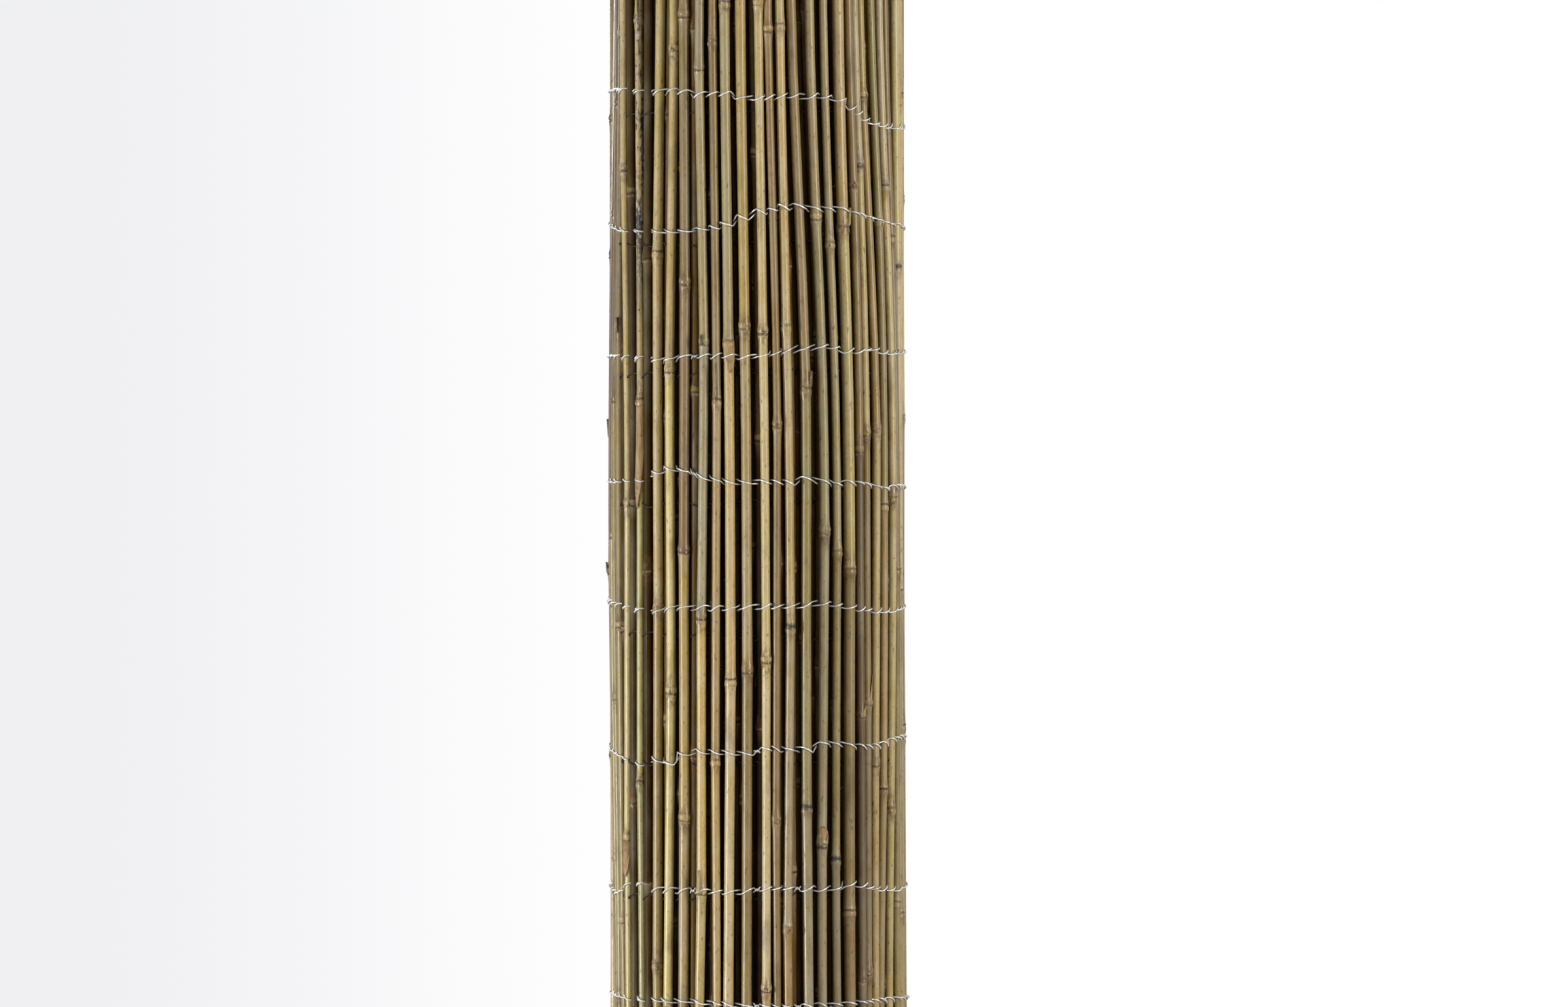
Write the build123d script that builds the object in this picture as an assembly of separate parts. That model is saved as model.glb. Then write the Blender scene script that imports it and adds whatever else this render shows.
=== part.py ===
from build123d import *

import os
from math import acos, atan2, cos, degrees, hypot, pi, sin, sqrt, tau

# A roll of bamboo screening: whole thin canes, laid side by side and tied with rows of
# galvanised wire, rolled up with the canes upright and stood on its end.
# Millimetres, +Z up. The roll faces -Y, and the origin is on the floor, under its middle.

# The screen and the roll
cane_length = 1800.0         # height of the screen: the canes' sawn length
screen_length = 4000.0       # how far the screen reaches when it is unrolled
roll_diameter = 230.0        # over the canes of the outer turn
turn_clearance = 0.6         # between a cane and the cane around it that it lies against

# Diameters of the canes, and the gaps between them, in the order in which they are wired.
# They start at the left edge of the front of the roll and cross it to the right edge; the rest
# of the screen runs through them again, and the two counts differ, so no stretch is the same.
cane_sizes = [6.4, 7.2, 7.0, 7.0, 6.4, 6.8, 7.9, 7.4, 8.1, 7.4, 6.4, 7.9, 7.9, 6.9, 6.1,
              7.1, 7.9, 7.6, 6.6, 9.1, 6.6, 6.6, 6.8, 6.6, 7.0, 6.4, 7.4, 6.8, 6.6]
cane_gaps = [5.5, 5.2, 5.4, 10.7, 11.4, 11.0, 6.0, 4.8, 8.3, 3.8, 3.6, 4.8, 6.8, 2.3,
             3.4, 6.0, 6.9, 4.0, 4.6, 3.0, 1.6, 4.2, 5.2, 10.0, 2.9, 1.7, 4.4, 4.3]
canes_behind = 12            # canes from the free end, at the back, to the front's left edge
facing_cane = 13             # the cane at the middle of the front, counted on from that one

# Sawn ends: level where the roll stands, and this much short of the full length at the top
top_shortfalls = [0.0, 2.5, 1.0, 4.0, 0.5, 3.0, 1.5]

# The wires
wire_diameter = 1.0
wire_pitch = 100.0           # from one row of wire up to the next
wire_margin = 50.0           # from the floor to the lowest row, and at least that at the top
wire_clearance = 0.3         # between a wire and the canes that it is drawn over
wire_bends = 32              # straight runs of wire in the outer turn

# Flat sides of a cane: finer on the turn that shows all over than on those behind it
outer_sides = 12
inner_sides = 8


class Cane:
    """A cane of the roll: where it stands, how thick it is, and how far along the spiral it is."""

    def __init__(self, x, y, size, winding=0.0):
        self.x = x
        self.y = y
        self.size = size
        self.winding = winding

    def radius(self):
        return hypot(self.x, self.y)

    def bearing(self):
        return atan2(self.y, self.x)

    def turned(self, angle):
        x = self.x * cos(angle) - self.y * sin(angle)
        y = self.x * sin(angle) + self.y * cos(angle)
        return Cane(x, y, self.size, self.winding)


def cane_count():
    """How many canes fill the screen's length, at their mean size and mean gap."""
    pitch = sum(cane_sizes) / len(cane_sizes) + sum(cane_gaps) / len(cane_gaps)
    return round(screen_length / pitch)


def opening_angle(reach, distance, apart):
    """Angle at the pivot of an arm, between the arm and a point that its end is apart from."""
    cosine = (reach**2 + distance**2 - apart**2) / (2 * reach * distance)
    return acos(cosine) if abs(cosine) < 1 else None


def next_cane(laid, size, gap):
    """Lays the next cane of the screen, inwards along the spiral.

    The screen hinges at its wires. The cane swings round the one before it, from pointing at
    the axis, forwards and outwards, until it meets the roll's outside or the turn around it.
    """
    last = laid[-1]
    reach = (last.size + size) / 2 + gap
    inwards = last.bearing() + pi
    swings = [opening_angle(reach, last.radius(), (roll_diameter - size) / 2)]
    for around in laid[:-1]:
        apart = (around.size + size) / 2 + turn_clearance
        distance = hypot(around.x - last.x, around.y - last.y)
        opening = opening_angle(reach, distance, apart)
        if opening is not None:
            heading = atan2(around.y - last.y, around.x - last.x)
            swings.append((inwards - heading - opening) % tau)
    direction = inwards - min(swing for swing in swings if swing is not None)
    x = last.x + reach * cos(direction)
    y = last.y + reach * sin(direction)
    step = (atan2(y, x) - last.bearing()) % tau
    return Cane(x, y, size, last.winding + step)


def lay_screen():
    """All canes of the roll, from the free end inwards, with the front of the roll facing -Y."""
    size = cane_sizes[-canes_behind % len(cane_sizes)]
    laid = [Cane((roll_diameter - size) / 2, 0.0, size)]
    for place in range(1 - canes_behind, cane_count() - canes_behind):
        size = cane_sizes[place % len(cane_sizes)]
        gap = cane_gaps[(place - 1) % len(cane_gaps)]
        laid.append(next_cane(laid, size, gap))
    front = -pi / 2 - laid[canes_behind + facing_cane].bearing()
    return [cane.turned(front) for cane in laid]


def canes_by_turn(canes):
    """The canes of each turn of the spiral, the outer turn first."""
    turns = {}
    for cane in canes:
        turns.setdefault(int(cane.winding // tau) + 1, []).append(cane)
    return turns


def cane_solid(cane, length, sides):
    """A cane on the floor, as thick as the round one, with a corner turned to the outside."""
    corner_radius = cane.size / 2 * sqrt(tau / (sides * sin(tau / sides)))
    section = RegularPolygon(corner_radius, sides)
    facing = Rot(0, 0, degrees(cane.bearing()))
    return (Pos(cane.x, cane.y, 0) * facing * extrude(section, amount=length)).solid()


def wire_edge(radius, start, sweep):
    """Corners of one edge of a wire whose straight runs touch a circle of this radius."""
    bend = sweep / wire_bends
    reach = radius / cos(bend / 2)
    bearings = [start + bend * step for step in range(wire_bends + 1)]
    return [(reach * cos(bearing), reach * sin(bearing)) for bearing in bearings]


def wire_solid(outer_turn, height):
    """The outer turn of one row of wire, from the free end round to where it goes under it."""
    start = outer_turn[0].bearing()
    sweep = outer_turn[-1].winding
    seat = roll_diameter / 2 + wire_clearance
    inner = wire_edge(seat, start, sweep)
    outer = wire_edge(seat + wire_diameter, start, sweep)
    section = make_face(Polyline(inner + outer[::-1], close=True))
    bottom = Pos(0, 0, height - wire_diameter / 2)
    return (bottom * extrude(section, amount=wire_diameter)).solid()


roll = lay_screen()
turns = canes_by_turn(roll)

nodes = {}
for turn, canes in turns.items():
    sides = outer_sides if turn == 1 else inner_sides
    solids = []
    for place, cane in enumerate(canes):
        shortfall = top_shortfalls[place % len(top_shortfalls)]
        solids.append(cane_solid(cane, cane_length - shortfall, sides))
    nodes[f"canes_turn_{turn}"] = solids

wire_rows = int((cane_length - 2 * wire_margin) / wire_pitch) + 1
for row in range(wire_rows):
    height = wire_margin + row * wire_pitch
    nodes[f"wire_row_{row + 1:02d}"] = [wire_solid(turns[1], height)]

os.makedirs("parts", exist_ok=True)
for name, solids in nodes.items():
    export_step(Compound(children=solids), f"parts/{name}.step")

eye_diameter = 2 * min(cane.radius() - cane.size / 2 for cane in roll)
print("canes", len(roll), "in", len(turns), "turns, round an eye of", round(eye_diameter, 1))
print("free end at", round(degrees(roll[0].bearing()), 1), "degrees")
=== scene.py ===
import random
from math import atan2, cos, exp, floor, hypot, pi, radians, sin, sqrt, tau

import bmesh
import bpy
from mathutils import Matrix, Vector


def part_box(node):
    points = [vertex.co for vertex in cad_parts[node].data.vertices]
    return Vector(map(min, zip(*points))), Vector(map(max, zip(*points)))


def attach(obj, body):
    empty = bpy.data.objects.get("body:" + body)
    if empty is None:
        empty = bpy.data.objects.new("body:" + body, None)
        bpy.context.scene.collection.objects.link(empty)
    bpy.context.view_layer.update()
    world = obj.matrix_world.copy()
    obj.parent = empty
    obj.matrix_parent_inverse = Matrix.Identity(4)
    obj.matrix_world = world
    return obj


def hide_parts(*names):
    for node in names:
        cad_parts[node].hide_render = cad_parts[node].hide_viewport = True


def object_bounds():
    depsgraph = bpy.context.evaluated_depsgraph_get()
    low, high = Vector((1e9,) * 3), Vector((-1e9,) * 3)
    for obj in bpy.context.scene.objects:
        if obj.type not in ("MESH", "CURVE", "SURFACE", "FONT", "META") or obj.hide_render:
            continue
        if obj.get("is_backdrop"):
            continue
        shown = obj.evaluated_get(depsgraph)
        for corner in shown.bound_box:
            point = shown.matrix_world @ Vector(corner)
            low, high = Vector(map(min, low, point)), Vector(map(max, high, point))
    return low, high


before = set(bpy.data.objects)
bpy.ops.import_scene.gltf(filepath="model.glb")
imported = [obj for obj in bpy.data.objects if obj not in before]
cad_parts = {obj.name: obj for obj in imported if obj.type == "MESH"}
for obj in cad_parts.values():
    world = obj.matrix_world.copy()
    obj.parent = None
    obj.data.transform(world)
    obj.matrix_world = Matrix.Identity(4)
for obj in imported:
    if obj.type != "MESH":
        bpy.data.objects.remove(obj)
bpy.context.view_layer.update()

# The canes
# Thin whole bamboo, dried and sawn to one length, weathered to tan, straw and grey. Each stands
# upright in its turn of the roll, held between the strands of wire and by nothing else.
MM = 0.001
turn_names = ("turn_1", "turn_2", "turn_3", "turn_4", "turn_5", "turn_6", "turn_7")
free_end = radians(106.6)        # bearing just before the screen's free end, seen from above
canes_behind = 12                # canes from the free end, at the back, to the front's left edge

# Where the photograph's pixels lie on the roll
photo_pixel = 0.5076 * MM
photo_axis = 1157                # column of the roll's axis
photo_level = 770                # row at the height of the next line
level_height = 931.7 * MM
lean_reach = 0.454               # from that height up and down to where the canes lean no further
lean_grown = 1.12                # there, as a share of the lean read near the picture's edges
lean_ease = 2.2                  # the more, the straighter the canes are near that height
view_turn = radians(-3.4)        # the photograph is taken from a little left of straight ahead

# Colours of weathered bamboo, as they look in daylight
tones = {
    "straw": (196, 176, 127),
    "pale": (186, 164, 118),
    "tan": (162, 137, 92),
    "grey": (154, 139, 102),
    "olive": (144, 129, 86),
    "green": (170, 154, 94),
    "umber": (132, 110, 72),
    "brown": (100, 80, 52),
}

# The canes across the front, left to right: tones of the upper and the lower part, height of one
# joint and the distance between joints in mm, and how many photo pixels the cane is off its
# middle's place above and below it
front_canes = (
    ("brown", "olive", 877, 246, 7.5, 7.5),
    ("brown", "olive", 905, 250, 7.0, 8.0),
    ("brown", "olive", 1010, 230, 5.5, 8.0),
    ("umber", "olive", 836, 228, 3.5, 8.0),
    ("pale", "straw", 1188, 258, -6.5, 1.0),
    ("pale", "green", 718, 294, -2.0, 2.5),
    ("pale", "tan", 852, 273, 4.0, 3.5),
    ("pale", "straw", 1032, 246, 4.0, -2.5),
    ("umber", "tan", 894, 205, 1.0, -0.5),
    ("grey", "pale", 1053, 210, -4.5, -5.5),
    ("umber", "tan", 1011, 275, -4.5, 1.0),
    ("grey", "pale", 797, 259, -9.0, -1.5),
    ("tan", "umber", 802, 263, -10.0, 1.0),
    ("pale", "pale", 810, 251, -11.0, 3.2),
    ("umber", "umber", 990, 302, -11.8, 1.2),
    ("pale", "tan", 838, 230, -16.3, -0.8),
    ("umber", "olive", 1020, 320, -21.3, 3.7),
    ("grey", "olive", 909, 240, -21.5, -2.0),
    ("grey", "olive", 896, 236, -20.5, 1.0),
    ("pale", "umber", 882, 262, -16.0, 3.0),
    ("umber", "brown", 1174, 203, -17.0, 4.0),
    ("pale", "umber", 984, 207, -19.5, 1.5),
    ("tan", "pale", 987, 257, -23.3, -0.8),
    ("olive", "tan", 931, 219, -19.0, -5.5),
    ("straw", "pale", 1177, 240, -21.5, -6.0),
    ("umber", "olive", 881, 257, -17.5, 0.0),
    ("straw", "tan", 615, 250, -6.0, 3.0),
    ("pale", "olive", 760, 240, -6.0, 3.0),
    ("straw", "pale", 1000, 250, -4.0, 3.0),
)
mouldy_cane = 5                  # the front cane that is black with mould near the picture's top
mould_low = 1.02                 # where its mould begins, and where it is full
mould_full = 1.16
mould_most = 5.0                 # how mouldy it is there, when 1 is common

# The swelling at a joint: distance above the joint in mm, and share of the full swelling
outer_joint = (
    (-9.0, 0.0), (-3.5, 0.22), (-1.1, 0.5), (-0.3, 1.0), (0.4, 0.35),
    (1.8, 0.75), (3.4, 0.9), (6.0, 0.3), (11.0, 0.0),
)
inner_joint = ((-6.0, 0.05), (-0.5, 1.0), (2.5, 0.8), (9.0, 0.0))
between_joints = -0.12           # that share half way between two joints
kink_share = 0.3                 # how far a cane bends at its joints, as a share of the gap
follow_width = 0.12              # how far round, in radians, a cane follows those in front of it
follow_lean = 5                  # by how much its own lean is divided then
follow_bend = 0.4                # and what share of its own kinks and bow is left
parting_room = 0.2 * MM          # between two canes that were pushed apart at an end
parting_reach = 9 * MM           # gap of the pairs of canes that are looked at for this
parting_rounds = 12
end_margin = 3 * MM              # no ring of the swelling lies nearer to a sawn end
wall_share = 0.42                # thickness of a cane's wall, as a share of its radius
hollow_depth = 30 * MM           # how deep the hollow of a sawn end is modelled


class Cane:
    """A cane of the frame: its place and size, and the random character that makes it its own."""

    def __init__(self, corners):
        sides = len(corners) // 2
        corner_radius_of_round = sqrt(tau / (sides * sin(tau / sides)))
        self.x = sum(corner.x for corner in corners) / len(corners)
        self.y = sum(corner.y for corner in corners) / len(corners)
        self.top = max(corner.z for corner in corners)
        reach = max(hypot(corner.x - self.x, corner.y - self.y) for corner in corners)
        self.radius = reach / corner_radius_of_round
        self.bearing = atan2(self.y, self.x)
        self.winding = (self.bearing - free_end) % tau

    def give_character(self, number):
        dice = random.Random(f"cane {number}")
        self.seed = dice.random()
        self.tones = dice.choice(list(tones)), dice.choice(list(tones))
        self.tone_change = dice.uniform(0.3, 1.5)
        self.spacing = dice.uniform(205, 310) * MM
        self.joint = dice.uniform(0.3, 1.3) * self.spacing
        self.swelling = dice.uniform(0.55, 1.25) * MM
        self.taper = dice.uniform(-0.05, 0.05)
        self.kink = dice.uniform(0.3, 1.4) * MM
        self.bow = dice.uniform(-0.7, 0.7) * MM
        self.bow_phase = dice.uniform(0, tau)
        self.tip = dice.choice((1, 1, -1))
        own_leans = [Vector((dice.gauss(0, 1.3), dice.gauss(0, 1.0))) * MM for end in ("up", "down")]
        place = number - canes_behind
        self.mouldy = place == mouldy_cane
        nearest = min(max(place, 0), len(front_canes) - 1)
        *front_tones, joint, spacing, up, down = front_canes[nearest]
        if place == nearest:
            self.tones = front_tones
            self.tone_change = level_height
            self.spacing = spacing * MM
            self.joint = joint * MM % self.spacing
        seen = exp(-(place - nearest) ** 2)
        aside = Vector((cos(view_turn), sin(view_turn))) * photo_pixel
        self.leans = [own * (1 - seen) + aside * pixels * seen
                      for own, pixels in zip(own_leans, (up, down))]

    def gap_to(self, other):
        """The gap between two canes as the frame has them, before they lean."""
        return hypot(other.x - self.x, other.y - self.y) - other.radius - self.radius

    def part_from(self, other, end):
        """Where the leans press two canes into each other at an end, pushes both apart."""
        across = (other.leans[end] - self.leans[end]) * lean_grown
        across += Vector((other.x - self.x, other.y - self.y))
        short = self.radius + other.radius + parting_room - across.length
        if short > 0:
            push = across.normalized() * short / 2
            self.leans[end] -= push
            other.leans[end] += push

    def follow(self, outer):
        """Leans with the canes of the outer turn that it stands behind, and bends less itself."""
        weights = []
        for other in outer:
            apart = (self.bearing - other.bearing + pi) % tau - pi
            weights.append(exp(-(apart / follow_width) ** 2))
        for end in (0, 1):
            near = Vector((0, 0))
            for weight, other in zip(weights, outer):
                near += other.leans[end] * weight
            self.leans[end] = near / sum(weights) + self.leans[end] / follow_lean
        self.kink *= follow_bend
        self.bow *= follow_bend

    def joint_heights(self):
        """Heights of the joints, from the floor up."""
        count = int((self.top - self.joint) / self.spacing) + 1
        return [self.joint + number * self.spacing for number in range(count)]

    def joints_below(self, height):
        """How many joints lie below a height, with the share of the stretch that is begun."""
        return (height - self.joint) / self.spacing

    def tone_at(self, height):
        """The cane's colour at a height. It changes only at a joint."""
        stretch_middle = self.joint + (floor(self.joints_below(height)) + 0.5) * self.spacing
        upper, lower = self.tones
        return linear(tones[upper if stretch_middle > self.tone_change else lower])

    def mould_at(self, height):
        """How mouldy the cane is at a height, when 1 is common."""
        begun = min(1, max(0, (height - mould_low) / (mould_full - mould_low)))
        return 1.0 + (mould_most - 1.0) * begun if self.mouldy else 1.0

    def photo_column(self):
        """The photograph's column in which the middle of the cane stands."""
        return photo_axis + (self.x * cos(view_turn) + self.y * sin(view_turn)) / photo_pixel

    def centre(self, height):
        """The middle of the cane at a height: it leans, bows and kinks at its joints."""
        reached = min(1, abs(height - level_height) / lean_reach)
        share = lean_grown * sin(reached * pi / 2) ** lean_ease
        lean = self.leans[0 if height > level_height else 1]
        half = self.joints_below(height) / 2
        kink = self.kink * (4 * abs(half - floor(half + 0.5)) - 1)
        bow = self.bow * sin(3 * pi * height / self.top + self.bow_phase)
        out_x, out_y = cos(self.bearing), sin(self.bearing)
        x = self.x + share * lean[0] - out_y * kink + out_x * bow
        y = self.y + share * lean[1] + out_x * kink + out_y * bow
        return Vector((x, y, height))

    def rings(self, joint_profile, stretches):
        """Heights and radii along the cane: close together at its joints, and a few between."""
        marks = [(0.0, 0.0), (self.top, 0.0)]
        for number in range(-1, int(self.top / self.spacing) + 2):
            height = self.joint + number * self.spacing
            marks += [(height + self.tip * above * MM, share) for above, share in joint_profile]
            for step in range(1, stretches):
                marks.append((height + step / stretches * self.spacing, between_joints))
        kept = []
        for height, share in sorted(marks):
            at_end = height in (0.0, self.top)
            if at_end or end_margin < height < self.top - end_margin:
                taper = 1 + self.taper * (height / self.top - 0.5)
                kept.append((height, self.radius * taper + share * self.swelling))
        return kept


def canes_of(node):
    """The canes of a node of the frame, in order along the spiral."""
    copy = bmesh.new()
    copy.from_mesh(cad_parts[node].data)
    bmesh.ops.remove_doubles(copy, verts=copy.verts, dist=0.01 * MM)
    found = []
    waiting = set(copy.verts)
    while waiting:
        group = [waiting.pop()]
        for corner in group:
            for edge in corner.link_edges:
                other = edge.other_vert(corner)
                if other in waiting:
                    waiting.remove(other)
                    group.append(other)
        found.append(Cane([corner.co.copy() for corner in group]))
    copy.free()
    return sorted(found, key=lambda cane: cane.winding)


def outward(bearing):
    """The level direction of a bearing, seen from the roll's axis."""
    return Vector((cos(bearing), sin(bearing), 0))


def linear(colour):
    """A colour written as red, green and blue to 255, as the shaders take it."""
    parts = [part / 255 for part in colour]
    return [part / 12.92 if part < 0.04 else ((part + 0.055) / 1.055) ** 2.4 for part in parts] + [1.0]


def add(tree, kind, inputs=(), **settings):
    """Adds a node with its settings, and sets or links its inputs, by name or by number."""
    node = tree.nodes.new(kind)
    for name, value in settings.items():
        setattr(node, name, value)
    for name, value in dict(inputs).items():
        if isinstance(value, bpy.types.NodeSocket):
            tree.links.new(value, node.inputs[name])
        else:
            node.inputs[name].default_value = value
    return node


def result(tree, kind, inputs=(), **settings):
    """Adds a node and returns its first output."""
    return add(tree, kind, inputs, **settings).outputs[0]


def calc(tree, operation, first, second=0.0, third=0.0):
    """Adds a Math node."""
    return result(tree, "ShaderNodeMath", {0: first, 1: second, 2: third}, operation=operation)


def plus(tree, value, *others):
    """Adds values up."""
    for other in others:
        value = calc(tree, "ADD", value, other)
    return value


def times(tree, value, *others):
    """Multiplies values."""
    for other in others:
        value = calc(tree, "MULTIPLY", value, other)
    return value


def vector_calc(tree, operation, first, second):
    """Adds a Vector Math node."""
    return result(tree, "ShaderNodeVectorMath", {0: first, 1: second}, operation=operation)


def named(tree, name, data_type="FLOAT"):
    """Reads an attribute of the mesh inside a Geometry Nodes tree."""
    return result(tree, "GeometryNodeInputNamedAttribute", {"Name": name}, data_type=data_type)


def new_tree(name, kind, inputs, outputs):
    """A node group with named sockets, and its group input's outputs by name."""
    tree = bpy.data.node_groups.new(name, kind)
    for side, sockets in (("INPUT", inputs), ("OUTPUT", outputs)):
        for label, socket in sockets.items():
            tree.interface.new_socket(label, in_out=side, socket_type=f"NodeSocket{socket}")
    return tree, tree.nodes.new("NodeGroupInput").outputs


def shape_tree(name, inputs):
    """A Geometry Nodes tree that takes a mesh and a material beside inputs of its own."""
    inputs = {"Geometry": "Geometry", **inputs, "Material": "Material"}
    return new_tree(name, "GeometryNodeTree", inputs, {"Geometry": "Geometry"})


def finish_tree(tree, geometry, given, smooth=True):
    """Ends a Geometry Nodes tree: faces smooth, instances made real, and the material set."""
    shaded = result(tree, "GeometryNodeSetShadeSmooth", {"Geometry": geometry, "Shade Smooth": smooth})
    real = result(tree, "GeometryNodeRealizeInstances", {"Geometry": shaded})
    painted = result(tree, "GeometryNodeSetMaterial", {"Geometry": real, "Material": given["Material"]})
    add(tree, "NodeGroupOutput", {"Geometry": painted})
    return tree


def cane_tree():
    """Sweeps each line of a mesh to a cane, as thick as its points say, with hollow sawn ends."""
    tree, given = shape_tree("sweep canes", {"Sides": "Int", "Wall": "Float", "Hollow Depth": "Float"})
    lines = result(tree, "GeometryNodeMeshToCurve", {"Mesh": given["Geometry"]})
    ring = result(tree, "GeometryNodeCurvePrimitiveCircle", {"Resolution": given["Sides"], "Radius": 1.0})
    tube = result(tree, "GeometryNodeCurveToMesh", {
        "Curve": lines,
        "Profile Curve": ring,
        "Scale": named(tree, "girth"),
        "Fill Caps": False,
    })
    neighbours = result(tree, "GeometryNodeInputMeshEdgeNeighbors")
    rim = result(tree, "FunctionNodeCompare", {2: neighbours, 3: 1}, data_type="INT", operation="EQUAL")
    core = named(tree, "core", "FLOAT_VECTOR")
    place = result(tree, "GeometryNodeInputPosition")

    def step_in(mesh, edges, new_place):
        """Draws edges out to a new place, over faces that are marked as cut."""
        inputs = {"Mesh": mesh, "Selection": edges, "Offset Scale": 0.0}
        drawn = add(tree, "GeometryNodeExtrudeMesh", inputs, mode="EDGES").outputs
        inputs = {"Geometry": drawn["Mesh"], "Selection": drawn["Side"], "Name": "cut", "Value": 1.0}
        marked = result(tree, "GeometryNodeStoreNamedAttribute", inputs, data_type="FLOAT", domain="FACE")
        inputs = {"Geometry": marked, "Selection": drawn["Top"], "Position": new_place}
        return result(tree, "GeometryNodeSetPosition", inputs), drawn["Top"]

    # The sawn face: the rim goes in towards the middle of the cane by the wall
    inputs = {0: given["Wall"], 4: place, 5: core}
    inwards = add(tree, "ShaderNodeMix", inputs, data_type="VECTOR").outputs[1]
    walled, inner_rim = step_in(tube, rim, inwards)

    # The hollow: down from there at the top end, up at the bottom end, and closed
    deep = times(tree, named(tree, "end"), given["Hollow Depth"], -1.0)
    down = result(tree, "ShaderNodeCombineXYZ", {"Z": deep})
    bored, hollow_rim = step_in(walled, inner_rim, vector_calc(tree, "ADD", place, down))
    closed = step_in(bored, hollow_rim, vector_calc(tree, "ADD", core, down))[0]
    merged = result(tree, "GeometryNodeMergeByDistance", {"Geometry": closed, "Distance": 0.001 * MM})
    return finish_tree(tree, merged, given, calc(tree, "LESS_THAN", named(tree, "cut"), 0.5))


def line_mesh(name, lines):
    """A mesh of open lines. A point is its place, and the values that it carries by name."""
    points = [point for line in lines for point in line]
    edges = []
    start = 0
    for line in lines:
        edges += [(start + step, start + step + 1) for step in range(len(line) - 1)]
        start += len(line)
    mesh = bpy.data.meshes.new(name)
    mesh.from_pydata([place for place, carried in points], edges, [])
    kinds = {Vector: ("FLOAT_VECTOR", "vector"), list: ("FLOAT_COLOR", "color"), float: ("FLOAT", "value")}
    for label, sample in points[0][1].items():
        kind, field = kinds[type(sample)]
        values = [carried[label] for place, carried in points]
        flat = values if kind == "FLOAT" else [part for value in values for part in value]
        mesh.attributes.new(label, kind, "POINT").data.foreach_set(field, flat)
    return mesh


def grow(name, mesh, tree, values):
    """Runs a tree on a mesh with its inputs set, and returns the result as a plain mesh object."""
    piece = bpy.data.objects.new(name, mesh)
    bpy.context.scene.collection.objects.link(piece)
    modifier = piece.modifiers.new("nodes", "NODES")
    modifier.node_group = tree
    for item in tree.interface.items_tree:
        if item.in_out == "INPUT" and item.name in values:
            modifier[item.identifier] = values[item.name]
    graph = bpy.context.evaluated_depsgraph_get()
    made = bpy.data.meshes.new_from_object(
        piece.evaluated_get(graph), preserve_all_data_layers=True, depsgraph=graph)
    piece.modifiers.remove(modifier)
    piece.data = made
    return piece


def face_outwards(piece):
    """Turns the faces of a piece outwards, once its doubles are merged."""
    shape = bmesh.new()
    shape.from_mesh(piece.data)
    bmesh.ops.recalc_face_normals(shape, faces=shape.faces)
    shape.to_mesh(piece.data)
    shape.free()


def attribute(tree, name, output="Fac"):
    """Reads an attribute of the mesh inside a material."""
    return add(tree, "ShaderNodeAttribute", attribute_name=name).outputs[output]


def noise(tree, vector, scale, detail, roughness, seed=0.0):
    """Adds a noise texture."""
    inputs = {"Vector": vector, "W": seed, "Scale": scale, "Detail": detail, "Roughness": roughness}
    return result(tree, "ShaderNodeTexNoise", inputs, noise_dimensions="4D")


def ramp(tree, value, low, high, start=0.0, end=1.0):
    """Maps a value from low and high to start and end, smoothly and no further."""
    inputs = {"Value": value, "From Min": low, "From Max": high, "To Min": start, "To Max": end}
    return result(tree, "ShaderNodeMapRange", inputs, interpolation_type="SMOOTHSTEP")


def blend(tree, share, first, second):
    """Mixes two colours, each a socket or written as red, green and blue to 255."""
    sides = {6: first, 7: second}
    for side, colour in sides.items():
        if isinstance(colour, tuple):
            sides[side] = linear(colour)
    return add(tree, "ShaderNodeMix", {0: share, **sides}, data_type="RGBA").outputs[2]


def weather_group():
    """Weathering of outdoor material: dark mildew blotches, fine specks and a pale dusty bloom."""
    tree, given = new_tree("weathering", "ShaderNodeTree", {
        "Colour": "Color",
        "Place": "Vector",
        "Seed": "Float",
        "Mildew": "Float",
        "Bloom": "Float",
    }, {"Colour": "Color", "Dirt": "Float"})

    def spots(scale, detail, roughness, low, high):
        return ramp(tree, noise(tree, given["Place"], scale, detail, roughness, given["Seed"]), low, high)

    patches = times(tree, spots(55.0, 5.0, 0.65, 0.52, 0.72), 0.65)
    specks = times(tree, spots(620.0, 2.0, 0.5, 0.61, 0.71), 0.85)
    dirt = times(tree, calc(tree, "MAXIMUM", patches, specks), given["Mildew"])
    dusty = times(tree, spots(24.0, 4.0, 0.6, 0.45, 0.75), given["Bloom"])
    paled = blend(tree, dusty, given["Colour"], (182, 174, 148))
    soiled = blend(tree, dirt, paled, (58, 47, 36))
    add(tree, "NodeGroupOutput", {"Colour": soiled, "Dirt": dirt})
    return tree


weathering = weather_group()


def new_material(name):
    """An empty material, with its tree and a Principled BSDF joined to its output."""
    material = bpy.data.materials.new(name)
    material.use_nodes = True
    tree = material.node_tree
    tree.nodes.clear()
    skin = add(tree, "ShaderNodeBsdfPrincipled")
    add(tree, "ShaderNodeOutputMaterial", {"Surface": skin.outputs[0]})
    return material, tree, skin


def dress(tree, skin, colour, roughness, relief, strength, depth):
    """Gives the surface of a material its colour, its roughness and a fine relief."""
    bump = result(tree, "ShaderNodeBump", {"Strength": strength, "Distance": depth, "Height": relief})
    for name, value in (("Base Color", colour), ("Roughness", roughness), ("Normal", bump)):
        tree.links.new(value, skin.inputs[name])


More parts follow.
